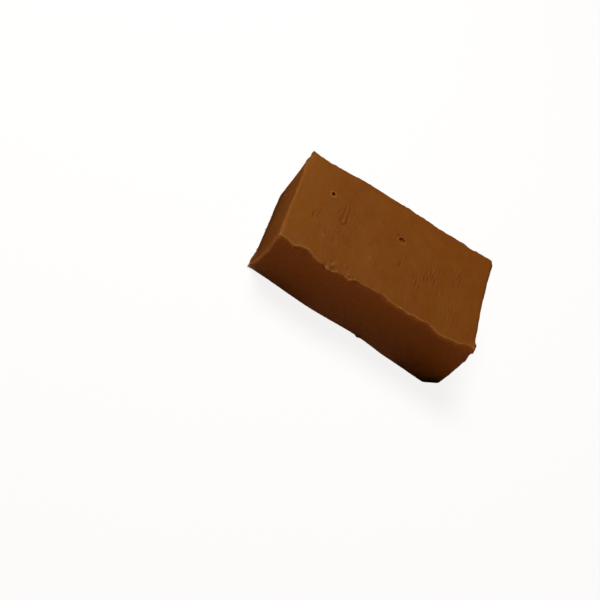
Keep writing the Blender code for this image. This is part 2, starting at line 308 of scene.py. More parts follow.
# Air bubbles that the knife opened: (where on the true face, radii, depth of the middle,
# all millimetres; turn about Z).
BUBBLES = (
    ((-22.85, 7.4, 21.5), (0.62, 0.64, 0.75), 0.20, 0),
    ((-22.6, 5.4, 21.5), (0.20, 0.30, 0.22), -0.04, 0),
    ((-24.2, 6.9, 21.5), (0.20, 0.20, 0.20), -0.04, 0),
    ((-21.8, 5.7, 21.5), (0.16, 0.16, 0.16), -0.05, 0),
    ((2.6, 5.5, 21.5), (1.10, 0.80, 0.85), -0.04, 14),
    ((1.1, 6.5, 21.5), (0.32, 0.70, 0.36), -0.02, 0),
    ((0.2, 3.4, 21.5), (0.20, 0.16, 0.16), -0.04, 0),
    ((-12.0, -7.8, 21.5), (0.18, 0.20, 0.16), -0.02, 30),
    ((-16.6, -16.2, 21.5), (0.34, 0.26, 0.24), -0.03, 20),
    ((-11.2, -15.6, 21.5), (0.18, 0.24, 0.18), -0.02, 0),
    ((-7.4, -18.6, 21.5), (0.20, 0.24, 0.20), -0.02, 0),
    ((-2.6, -18.4, 21.5), (0.20, 0.20, 0.18), -0.02, 0),
    ((-11.7, -3.9, 21.5), (0.16, 0.20, 0.16), -0.03, 0),
    ((23.2, -8.9, 21.5), (0.18, 0.16, 0.16), -0.02, 0),
    ((-1.7, 17.9, 21.5), (0.24, 0.20, 0.18), -0.03, 0),
    ((5.4, 15.8, 21.5), (0.20, 0.22, 0.18), -0.03, 0),
    ((6.6, 14.8, 21.5), (0.18, 0.18, 0.16), -0.03, 0),
    ((-34.0, 9.1, 9.3), (0.22, 0.26, 0.22), -0.02, 0),
    ((-34.0, 10.5, 2.2), (0.18, 0.22, 0.18), -0.02, 0),
    ((-6.0, 19.5, 13.5), (0.80, 0.60, 0.55), 0.15, 0),
    ((34.0, -6.5, 14.0), (0.60, 0.65, 0.90), 0.15, 0),
)
# the small torn pits of the cut faces that lie away from the lip:
# (low corner and high corner of the cluster on the true block, how many)
PIT_CLUSTERS = (
    ((-30.0, 19.5, 5.0), (-14.0, 19.5, 17.0), 9),
    ((4.0, 19.5, 3.5), (24.0, 19.5, 12.0), 10),
    ((34.0, -3.0, 4.0), (34.0, 14.0, 15.0), 11),
    ((-20.0, -8.0, 0.0), (18.0, 10.0, 0.0), 10),
)
PIT_RADII = (0.16, 0.42)  # smallest and largest, millimetres
PIT_SUNK = 0.2  # depth of a pit's middle, as a share of its radius
BUBBLE_UNEVEN = 0.25
BUBBLE_SEED = 7
# points that the cutting leaves closer together than this are one
DOUBLE = 0.002 * MM

# Lumps are uneven balls, the bubbles' and the pits' as well as the crumbs': their grain and
# how far apart their patterns are drawn, both in radii, and how their own radii spread.
LUMP_SUBDIVISIONS = 3
LUMP_GRAIN = 1.3
LUMP_PATTERNS = 50
LUMP_SPREAD = (0.7, 1.3)

# Crumbs stuck on: (low corner, high corner of where they lie on the true block, how many,
# smallest and largest radius, how pale their skin is), millimetres. The paleness is wear, and
# painted light on the palest, at the left front foot.
CRUMB_FALLS = (
    ((-18.5, -19.3, 21.5), (-8.0, -17.8, 21.5), 13, 0.12, 0.34, 0.14),
    ((-26.0, -19.0, 21.5), (30.0, -16.5, 21.5), 6, 0.10, 0.30, 0.30),
    ((-34.0, -19.3, 0.6), (-34.0, -19.0, 7.0), 7, 0.10, 0.26, 0.40),
    ((-34.0, -19.5, 0.8), (-33.8, -19.5, 1.0), 2, 0.34, 0.44, 1.0),
    ((-34.0, -14.0, 0.5), (-34.0, 6.0, 1.6), 8, 0.10, 0.22, 0.45),
    ((-34.0, 8.3, 9.9), (-34.0, 8.6, 10.1), 1, 0.26, 0.30, 0.55),
    ((32.2, -19.2, 21.5), (33.6, -17.5, 21.5), 5, 0.10, 0.30, 0.30),
    ((-10.0, 19.5, 0.5), (30.0, 19.5, 3.0), 6, 0.10, 0.30, 0.30),
)
CRUMB_FLATNESS = 0.55  # a crumb's height as a share of its width
CRUMB_LOWEST = 1.5  # how high a crumb's middle lies at the least, in radii
CRUMB_UNEVEN = 0.5
CRUMB_SEED = 21

# ======== colours ========================================================================
NOUGAT_BROWN = "#743E0D"
NOUGAT_REDDER = "#743A0C"
NOUGAT_PALER = "#77420F"
# painted shade: the reddish bounce light on the knife's sides
NOUGAT_SLICED = "#6F380A"
# painted shade: the left third of the knife's sides darker
NOUGAT_PAINTED_SHADE_LEFT = "#6D3504"
# painted light: the right part of the knife's sides lighter
NOUGAT_PAINTED_LIGHT_RIGHT = "#793E0B"
NOUGAT_YELLOWER = "#7A460E"
# painted light on the left end, then painted shade towards its base
NOUGAT_END = "#7A4206"
NOUGAT_END_PAINTED_SHADE = "#663304"
# painted shade on the squashed corner
NOUGAT_PAINTED_SHADE_CORNER = "#2F170B"
# painted light: the glow through the thin lip
NOUGAT_PAINTED_LIP_GLOW = "#824208"
# painted light on raised streaks and mark shoulders, painted shade in furrows and grooves; the
# furrow colour is also the grain's own darker tone
NOUGAT_RIDGE_LIGHT = "#7E481A"
NOUGAT_GRAIN_AND_FURROW_SHADE = "#62320A"
NOUGAT_GROOVE_SHADE = "#5A2A06"
WORN_AND_LIT_BROWN = "#8B5223"
WORN_AND_LIT_PALE = "#A8795A"
SPECK_DARK = "#3A1B08"
TABLE_WHITE = "#FCFBFA"
TABLE_SHADED = "#656362"
BLACK = "#000000"
DIM_CARD = "#5A5452"
PALE_CARD = "#9B928F"
GLOWING_CARD = "#FFF3F6"

# ======== camera and light ===============================================================
VIEW_TARGET = Vector((-15.77, -16.74, 0.0)) * MM
VIEW_AZIMUTH = 15.59
VIEW_ELEVATION = 42.57
VIEW_ROLL = 42.39
VIEW_DISTANCE = 484.2 * MM
LENS_MM = 96.0

# the one soft lamp, high on the left, and how strong the cards round the block are
KEY_FROM = Vector((-0.30, 0.27, 0.90))
KEY_DISTANCE = 600.0 * MM
KEY_SIZE = 320.0 * MM
KEY_WATTS = 3.96
TABLE_GLOW = 0.90
BACKDROP_GLOW = 0.98

# the hidden cards on the floor that set what bounces up, each over the one before it:
# (name, low x and y, high x and y in millimetres, colour, glow)
FLOOR_CARDS = (
    ("glowing_card", (-1500, -1500), (1500, 1500), BLACK, 2.0),
    ("dim_card", (-60, -60), (60, 60), DIM_CARD, 0.20),
    ("pale_card", (-60, -60), (0, 60), PALE_CARD, 0.40),
    ("lit_card", (-14, -27), (19, -18), PALE_CARD, 0.62),
    ("dark_card", (27, -36), (54, -6), BLACK, 0.0),
)
CARD_STEP = 0.05 * MM
TABLE_CORNER = Vector((1.5, 1.5, 0.0))

LOW = Vector((-LENGTH / 2, -WIDTH / 2, 0.0))
HIGH = Vector((LENGTH / 2, WIDTH / 2, HEIGHT))
SIDES = {"left": 0, "right": 0, "front": 1, "back": 1, "base": 2, "top": 2}


def linear(hex_colour):
    """An sRGB hex colour as Blender's linear RGBA."""
    values = [int(hex_colour[i : i + 2], 16) / 255 for i in (1, 3, 5)]
    return (
        *(v / 12.92 if v <= 0.04045 else ((v + 0.055) / 1.055) ** 2.4 for v in values),
        1.0,
    )


# ======== the block's form ===============================================================
def smooth(share):
    share = min(max(share, 0.0), 1.0)
    return share * share * (3 - 2 * share)


def along(line, place):
    """How far a wandering line stands out at a place on it, both in metres."""
    place /= MM
    for (start, first), (end, second) in itertools.pairwise(line):
        if place <= end:
            return (first + (second - first) * smooth((place - start) / (end - start))) * MM
    return line[-1][1] * MM


def depths(point):
    """How deep a point lies behind each face of the true block."""
    return {
        "left": point.x - LOW.x,
        "right": HIGH.x - point.x,
        "front": point.y - LOW.y,
        "back": HIGH.y - point.y,
        "base": point.z - LOW.z,
        "top": HIGH.z - point.z,
    }


def edge_radius(point):
    """The radius of the nearest edge, changing smoothly where edges meet."""
    behind = depths(point)
    weights = {
        faces: 1 / (math.hypot(behind[faces[0]], behind[faces[1]]) + EDGE_BLEND) ** 4
        for faces in EDGE_RADII
    }
    radii = {faces: radius * MM for faces, radius in EDGE_RADII.items()}
    wide = smooth((point.y - WIDE_WEAR_STARTS) / (WIDE_WEAR_FULL - WIDE_WEAR_STARTS))
    radii["top", "left"] += wide * WIDE_WEAR
    total = sum(weights.values())
    return sum(radii[faces] * weight for faces, weight in weights.items()) / total


def with_worn_edges(point):
    """A point of the true block moved onto its worn edges, and the way out of it there."""
    radius = edge_radius(point)
    inner = Vector(
        min(max(value, low + radius), high - radius)
        for value, low, high in zip(point, LOW, HIGH)
    )
    outward = (point - inner).normalized()
    return inner + outward * radius, outward


def with_pressed_corners(point):
    """Bends each pressed upright corner's square plan to a quarter circle."""
    behind = depths(point)
    for (end, side), radius in PRESSED_CORNERS.items():
        reach_x = radius - behind[end]
        reach_y = radius - behind[side]
        if reach_x <= 0 or reach_y <= 0:
            continue
        shrink = 1 - max(reach_x, reach_y) / math.hypot(reach_x, reach_y)
        point = point + Vector(
            (
                reach_x * shrink * (1 if end == "left" else -1),
                reach_y * shrink * (1 if side == "front" else -1),
                0.0,
            )
        )
    return point


def corner_miss(point):
    """The misses of the eight corners, blended over the block."""
    share = {
        "right": (point.x - LOW.x) / LENGTH,
        "back": (point.y - LOW.y) / WIDTH,
        "top": point.z / HEIGHT,
    }
    share |= {
        "left": 1 - share["right"],
        "front": 1 - share["back"],
        "base": 1 - share["top"],
    }
    miss = Vector((0.0, 0.0, 0.0))
    for (end, side, level), offset in CORNER_MISSES.items():
        miss += Vector(offset) * (share[end] * share[side] * share[level] * MM)
    return miss


def wander(point):
    """How far the long lines of the block pull this point out of true."""
    back = (point.y - LOW.y) / WIDTH
    right = (point.x - LOW.x) / LENGTH
    top = point.z / HEIGHT
    crumble = noise.noise(Vector((point.x / CRUMBLE_LENGTH, 0.0, CRUMBLE_PATTERN)))
    swell = along(FRONT_SWELL, point.x)
    lip = along(LIP, point.x) + crumble * LIP_CRUMBLE
    proud = 1 - smooth((HEIGHT - point.z) / LIP_DEPTH)
    front = top * swell + (1 - top) * along(BASE_FRONT, point.x) + proud * (lip - swell)
    behind = top * along(TOP_BACK, point.x) + (1 - top) * along(BASE_BACK, point.x)
    near_lip = 1 - smooth((point.y - LOW.y) / (2 * LIP_DEPTH))
    bulge = RIGHT_END_BULGE * 4 * top * (1 - top)
    return Vector(
        (
            right * (top * along(TOP_RIGHT, point.y) + bulge)
            - (1 - right) * top * along(TOP_LEFT, point.y),
            back * behind - (1 - back) * front,
            -near_lip * proud * LIP_DROOP * lip,
        )
    )


def rolling(point):
    """The low waves and dimples of a soft slab, as a height along the way out."""
    wave = noise.noise(point / ROLL_LENGTH) * ROLL_HEIGHT
    dimple = noise.noise(point / DIMPLE_LENGTH + DIMPLE_PATTERN) * DIMPLE_HEIGHT
    return wave + dimple


def crag_pull(point, crags):
    """The pull of the crags near a point of the true block."""
    pull = Vector((0.0, 0.0, 0.0))
    for where, way, radius in crags:
        distance = (point - Vector(where) * MM).length / (radius * MM)
        if distance < 1:
            pull += Vector(way) * (MM * (1 - smooth(distance)))
    return pull


def squashed(point):
    """Brings what would reach past the squashed corner's flat back onto it."""
    miss = Vector(CORNER_MISSES["right", "front", "base"]) * MM
    corner = Vector((HIGH.x, LOW.y, LOW.z)) + miss
    beyond = (point - corner).dot(SQUASH_FACING) + SQUASH_DEPTH
    return point - SQUASH_FACING * max(beyond, 0.0)


# ======== the fine relief ================================================================
def edge_distances(point):
    """How far a point of the true block's surface lies from each edge."""
    behind = depths(point)
    return {faces: math.hypot(behind[faces[0]], behind[faces[1]]) for faces in EDGE_RADII}


def on_top(point):
    return point.z > HIGH.z - ON_FACE


def burr(point):
    """The ridge that the knife turned up along the lip, as a share of its full height."""
    inset = (point.y - LOW.y - BURR_INSET) / BURR_HALF_WIDTH
    if not on_top(point) or inset > BURR_REACH:
        return 0.0
    breaks = noise.noise(Vector((point.x / BURR_BREAKS, 0.0, BURR_PATTERN)))
    strength = along(BURR, point.x) / MM * (1 + BURR_UNEVEN * breaks)
    return strength * math.exp(-inset * inset)


def nibble(point, nearest):
    """The broken grain of an edge, deepest on the edge itself."""
    fade = math.exp(-((nearest / NIBBLE_REACH) ** 2))
    if fade < FAINT:
        return 0.0
    height = noise.noise(point / NIBBLE_LENGTH) * NIBBLE_HEIGHT
    return height * fade


def crumbled(point, from_lip):
    """How the crumbled stretch of the lip broke away."""
    start, end = CRUMBLED
    share = (point.x - start) / (end - start)
    fade = math.exp(-((from_lip / CRUMBLED_REACH) ** 2))
    if not 0 < share < 1 or fade < FAINT:
        return 0.0
    broken = noise.noise(point / CRUMBLED_LENGTH + CRUMBLED_PATTERN)
    sets_in = smooth(CRUMBLED_ENDS * share) * smooth(CRUMBLED_ENDS * (1 - share))
    return broken * CRUMBLED_HEIGHT * fade * sets_in


def drag(point, outward):
    """Low waves across the knife's way, which is along Y and up the front."""
    if abs(outward.x) > END_FACING:
        stretched = Vector((point.z / DRAG_ACROSS, point.y / DRAG_ALONG, DRAG_END_PATTERN))
    else:
        stretched = Vector((point.x / DRAG_ACROSS, point.y / DRAG_ALONG, point.z / DRAG_ALONG))
    return noise.noise(stretched) * DRAG_HEIGHT


def small_marks():
    """The short faint marks that fill the drag patches, like KNIFE_MARKS."""
    draw = random.Random(MARK_SEED)
    marks = []
    for x, y, radius, count in DRAG_PATCHES:
        for _ in range(count):
            place = (x + draw.gauss(0, radius / 2), y + draw.gauss(0, radius / 2))
            depth = SMALL_MARK_DEPTH * draw.choice(SMALL_MARK_SHARES)
            marks.append((*place, draw.uniform(*SMALL_MARK_LENGTHS), depth))
    return marks


ALL_MARKS = (*KNIFE_MARKS, *small_marks())


def groove(across):
    """Profile of a knife mark: a groove 1 deep, with a lower shoulder on its right."""
    shoulder = SHOULDER * math.exp(-((across - SHOULDER_ACROSS) ** 2))
    return shoulder - math.exp(-across * across)


def marked(point):
    """The relief of the knife marks at a point of the true block's top."""
    if not on_top(point):
        return 0.0
    x, y = point.x / MM, point.y / MM
    height = 0.0
    for mark_x, mark_y, length, depth in ALL_MARKS:
        across = (x - mark_x) / MARK_HALF_WIDTH
        ahead = abs(y - mark_y) / (length / 2)
        if ahead < 1 and abs(across) < MARK_REACH:
            height += depth * smooth(MARK_TAPER * (1 - ahead)) * groove(across)
    x -= HAIRPIN[0]
    y -= HAIRPIN[1]
    if abs(x) < HAIRPIN_REACH and -HAIRPIN_REACH < y < HAIRPIN_LENGTH:
        from_end = abs(math.hypot(x, y) - HAIRPIN_RADIUS)
        from_arm = abs(abs(x) - HAIRPIN_ARM)
        wide = HAIRPIN_END_WIDER if y < 0 else 1.0
        across = (from_end if y < HAIRPIN_ARM else from_arm) / (MARK_HALF_WIDTH * wide)
        fade = smooth(HAIRPIN_TAPER * (1 - y / HAIRPIN_LENGTH))
        height -= HAIRPIN_DEPTH * fade * math.exp(-across * across)
    return MARK_DEEPER * height * MM


def flaked(point):
    """The flakes on the top and how near a point of it is to one: height, and 0 to 1."""
    if not on_top(point):
        return 0.0, 0.0
    most = 0.0
    height = 0.0
    for x, y, radius, proud in FLAKES:
        away = math.hypot(point.x / MM - x, point.y / MM - y) / radius
        nearness = math.exp(-(away**4))
        most = max(most, nearness)
        height += nearness * proud * MM
    return height, most


def shaped(point, fine=True):
    """Takes a point from the true block's surface to the real block's."""
    on_base = point.z <= LOW.z
    worn, outward = with_worn_edges(point)
    worn = with_pressed_corners(worn)
    real = worn + corner_miss(worn) + wander(worn)
    real += outward * rolling(real) + crag_pull(point, CRAGS)
    if fine:
        real += crag_pull(point, CHIPS)
        distances = edge_distances(point)
        relief = nibble(point, min(distances.values())) + drag(point, outward)
        relief += crumbled(point, distances["top", "front"])
        real += outward * relief
        real.z += BURR_HEIGHT * burr(point) + marked(point) + flaked(point)[0]
    if on_base or real.z < LOW.z:
        real.z = LOW.z
    return squashed(real)


def wear_and_light(point):
    """How pale the sweet is at a point of the true block, from 0 to 1: wear, and painted light
    along the lip's line and on the left front foot.
    """
    behind = depths(point)
    most = 0.0
    for (first, second), (strength, on_first, on_second) in EDGE_WEAR_AND_LIGHT.items():
        away = math.hypot(behind[second] / on_first, behind[first] / on_second) / MM
        most = max(most, strength * math.exp(-away * away))
    most *= PALE_EDGE_MEAN + PALE_EDGE_PATCHES * noise.noise(point / PALE_EDGE_LENGTH)
    most *= PALE_EDGE_AT_BASE + (PALE_EDGE_AT_TOP - PALE_EDGE_AT_BASE) * point.z / HEIGHT
    # the first two tips are painted light on the left front foot
    for where, radius, strength in LIT_AND_WORN_TIPS:
        away = (point / MM - Vector(where)).length / radius
        most = max(most, strength * math.exp(-away * away))
    if on_top(point):
        for x, y, radius, strength in BUBBLE_RIMS:
            away = (math.hypot(point.x / MM - x, point.y / MM - y) - radius) / RIM_HALF_WIDTH
            most = max(most, strength * math.exp(-away * away))
    # the burr's painted highlight, and the flakes' paleness
    most = max(most, BURR_HIGHLIGHT * burr(point), FLAKE_SCUFF * flaked(point)[1])
    return min(most, 1.0)


def sliced(point):
    """How much a point of the true block is of the knife's sides, with their painted shade tint,
    from 0 to 1.
    """
    behind = depths(point)
    return smooth(min(behind["top"], behind["left"]) / SLICED_BELOW)


def on_end(point):
    """Where the left end is tinted: 0 off it and at its rim, 1 on it (painted light), and 2 at its
    base (painted shade).
    """
    behind = depths(point)
    on_face = smooth(1 - behind["left"] / SLICED_BELOW) * smooth(behind["top"] / SLICED_BELOW)
    return on_face * (2 - smooth(behind["base"] / END_SHADE_HEIGHT))


def thin(point):
    """How much painted glow, for light through the lip, lies at a point of the true block's front.
    """
    if point.y > LOW.y + ON_FACE:
        return 0.0
    start, end = THIN_SETS_IN
    sets_in = smooth((point.x - start) / (end - start))
    return sets_in * math.exp(-(((HIGH.z - point.z) / THIN_BELOW) ** 2))


def corner_shade(point):
    """How much painted shade darkens the squashed corner at a point of the true block, from 0 to
    1.
    """
    corner = Vector((HIGH.x, LOW.y, LOW.z))
    return 1 - smooth(((point - corner).length - CORNER_SHADE_RADIUS) / CORNER_SHADE_FADE)


def dragged(point):
    """How marked the knife's drag is at a point of the true block, from 0 to 1."""
    most = DRAG_EVERYWHERE
    for x, y, radius, _ in DRAG_PATCHES:
        away = math.hypot(point.x / MM - x, point.y / MM - y) / radius
        most = max(most, math.exp(-away * away))
    return most


def mark_depth(point):
    """How deep a mark is at a point of the true block, 1 being as dark as its painted shade gets.
    """
    return -marked(point) / MARK_SHADE_DEPTH


# The finishes of the block's skin, and its painted light and shade, each a layer of that name,
# which the material reads.
FINISHES = {
    "wear_and_light": wear_and_light,
    "drag": dragged,
    "sliced": sliced,
    "on_end": on_end,
    "thin": thin,
    "corner_shade": corner_shade,
    "mark": mark_depth,
}


# ======== meshes =========================================================================
def row_places(cells, first, last):
    """Where the rows of a side stand, from 0 to 1, their cells shortest at its ends."""
    crowd = cells * CROWDED
    steps = [
        1 - (1 - first) * math.exp(-i / crowd) - (1 - last) * math.exp(-(cells - 1 - i) / crowd)
        for i in range(cells)
    ]
    total = sum(steps)
    return [0.0, *(place / total for place in itertools.accumulate(steps))]


def gridded_box():
    """A bmesh of the true block, its faces cut into a grid of quads."""
    bm = bmesh.new()
    bmesh.ops.create_cube(bm, size=1.0)
    coarser = 1
    cells = [count // coarser for count in CELLS]
    for axis, count in enumerate(cells):
        edges = [
            edge
            for edge in bm.edges
            if abs(edge.verts[0].co[axis] - edge.verts[1].co[axis]) > 0.5
        ]
        bmesh.ops.subdivide_edges(bm, edges=edges, cuts=count - 1, use_grid_fill=True)
    rows = [row_places(count, *ends) for count, ends in zip(cells, END_CELLS)]
    for vertex in bm.verts:
        for axis, count in enumerate(cells):
            place = rows[axis][round((vertex.co[axis] + 0.5) * count)]
            vertex.co[axis] = LOW[axis] + place * (HIGH[axis] - LOW[axis])
    return bm


def lay_knife_marks(bm):
    """Maps each face in metres: U across the knife's way and V along it."""
    marks = bm.loops.layers.uv.new("knife_way")
    for face in bm.faces:
        middle = face.calc_center_median()
        behind = depths(middle)
        side = min(behind, key=behind.get)
        for loop in face.loops:
            x, y, z = loop.vert.co
            if SIDES[side] == 0:
                loop[marks].uv = (z, y)
            elif SIDES[side] == 1:
                loop[marks].uv = (x, z)
            else:
                loop[marks].uv = (x, y)


def box_fit(places):
    """The small stretch that carries the block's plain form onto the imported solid's box."""
    form = [shaped(place, fine=False) for place in places]
    own_low = Vector(min(place[axis] for place in form) for axis in range(3))
    own_high = Vector(max(place[axis] for place in form) for axis in range(3))
    low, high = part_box("nougat_block")
    stretch = [(high[axis] - low[axis]) / (own_high[axis] - own_low[axis]) for axis in range(3)]
    return (
        Matrix.Translation(low)
        @ Matrix.Diagonal((*stretch, 1.0))
        @ Matrix.Translation(-own_low)
    )


def keep_in_box(bm):
    """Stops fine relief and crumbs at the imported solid's box."""
    low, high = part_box("nougat_block")
    for vertex in bm.verts:
        vertex.co = Vector(min(max(at, a), b) for at, a, b in zip(vertex.co, low, high))


def add_piece(name, bm, material):
    mesh = bpy.data.meshes.new(name)
    bm.to_mesh(mesh)
    bm.free()
    mesh.shade_smooth()
    mesh.materials.append(material)
    piece = bpy.data.objects.new(name, mesh)
    bpy.context.scene.collection.objects.link(piece)
    return piece


def add_lump(bm, place, radii, turn, unevenness, draw):
    """An uneven ball in a bmesh: a torn bubble to cut out, or a crumb to stick on."""
    ball = bmesh.ops.create_icosphere(bm, subdivisions=LUMP_SUBDIVISIONS, radius=1.0)
    offset = Vector((draw.uniform(0, LUMP_PATTERNS) for _ in range(3)))
    for vertex in ball["verts"]:
        vertex.co *= 1 + unevenness * noise.noise(vertex.co * LUMP_GRAIN + offset)
    spin = Matrix.Rotation(math.radians(turn), 4, "Z")
    size = Matrix.Diagonal((*(radius * MM for radius in radii), 1.0))
    into_place = Matrix.Translation(place) @ spin @ size
    bmesh.ops.transform(bm, matrix=into_place, verts=ball["verts"])
    return ball["verts"]


def between(low, high, draw):
    """A place drawn between two corners."""
    return Vector(draw.uniform(a, b) for a, b in zip(low, high))


def bubble_cutter(fit, material):
    """Every opened bubble and torn pit, as one set of uneven balls."""
    draw = random.Random(BUBBLE_SEED)
    bm = bmesh.new()
    bubbles = list(BUBBLES)
    for low, high, count in PIT_CLUSTERS:
        for _ in range(count):
            radius = draw.uniform(*PIT_RADII)
            radii = tuple(radius * draw.uniform(*LUMP_SPREAD) for _ in range(3))
            place = between(low, high, draw)
            bubbles.append((place, radii, radius * PIT_SUNK, draw.uniform(0, 90)))
    for place, radii, depth, turn in bubbles:
        on_face = Vector(place) * MM
        outward = with_worn_edges(on_face)[1]
        middle = fit @ shaped(on_face) - outward * depth * MM
        add_lump(bm, middle, radii, turn, BUBBLE_UNEVEN, draw)
    cutter = add_piece("bubble_cutter", bm, material)
    cutter.hide_render = True
    cutter.hide_viewport = True
    return cutter


def nougat_block(material):
    bm = gridded_box()
    lay_knife_marks(bm)
    layers = {name: bm.verts.layers.float.new(name) for name in FINISHES}
    fit = box_fit([vertex.co.copy() for vertex in bm.verts])
    for vertex in bm.verts:
        true_place = vertex.co.copy()
        for name, finish in FINISHES.items():
            vertex[layers[name]] = finish(true_place)
        vertex.co = fit @ shaped(true_place)
    keep_in_box(bm)
    bmesh.ops.recalc_face_normals(bm, faces=bm.faces)
    block = add_piece("nougat_block_dressed", bm, material)
    cutter = bubble_cutter(fit, material)
    opened = block.modifiers.new("opened_bubbles", "BOOLEAN")
    opened.operation = "DIFFERENCE"
    opened.solver = "MANIFOLD"
    opened.object = cutter
    apply_modifiers(block)
    clean_cut(block)
    bpy.data.objects.remove(cutter)
    return block, fit


def apply_modifiers(piece):
    graph = bpy.context.evaluated_depsgraph_get()
    finished = bpy.data.meshes.new_from_object(piece.evaluated_get(graph))
    piece.modifiers.clear()
    piece.data = finished


def clean_cut(piece):
    """Merges points that the cutting left double, and drops those midway along an edge."""
    bm = bmesh.new()
    bm.from_mesh(piece.data)
    bmesh.ops.remove_doubles(bm, verts=bm.verts, dist=DOUBLE)
    midway = [vertex for vertex in bm.verts if len(vertex.link_edges) == 2]
    bmesh.ops.dissolve_verts(bm, verts=midway)
    bm.to_mesh(piece.data)
    bm.free()


def nougat_crumbs(fit, material):
    """Crumbs of the sweet, each half sunk where it stuck."""
    draw = random.Random(CRUMB_SEED)
    bm = bmesh.new()
    wear_and_light_layer = bm.verts.layers.float.new("wear_and_light")
    for low, high, count, smallest, largest, paleness in CRUMB_FALLS:
        for _ in range(count):
            on_face = between(low, high, draw) * MM
            radius = draw.uniform(smallest, largest)
            radii = [radius * draw.uniform(*LUMP_SPREAD) for _ in range(3)]
            radii[2] *= CRUMB_FLATNESS
            middle = fit @ shaped(on_face)
            middle.z = max(middle.z, CRUMB_LOWEST * radius * MM)
            turn = draw.uniform(0, 360)
            for vertex in add_lump(bm, middle, radii, turn, CRUMB_UNEVEN, draw):
                vertex[wear_and_light_layer] = paleness
    keep_in_box(bm)
    return add_piece("nougat_crumbs", bm, material)


# ======== materials ======================================================================
def add(tree, kind, settings=(), links=()):
    """A node with its settings, (name, value), and links, (input, where it comes from)."""
    node = tree.nodes.new(kind)
    for name, value in dict(settings).items():
        if isinstance(name, str) and hasattr(node, name):
            setattr(node, name, value)
        else:
            node.inputs[name].default_value = value
    for name, source in dict(links).items():
        tree.links.new(source, node.inputs[name])
    return node


def new_material(name):
    material = bpy.data.materials.new(name)
    material.use_nodes = True
    tree = material.node_tree
    return material, tree, tree.nodes["Principled BSDF"]


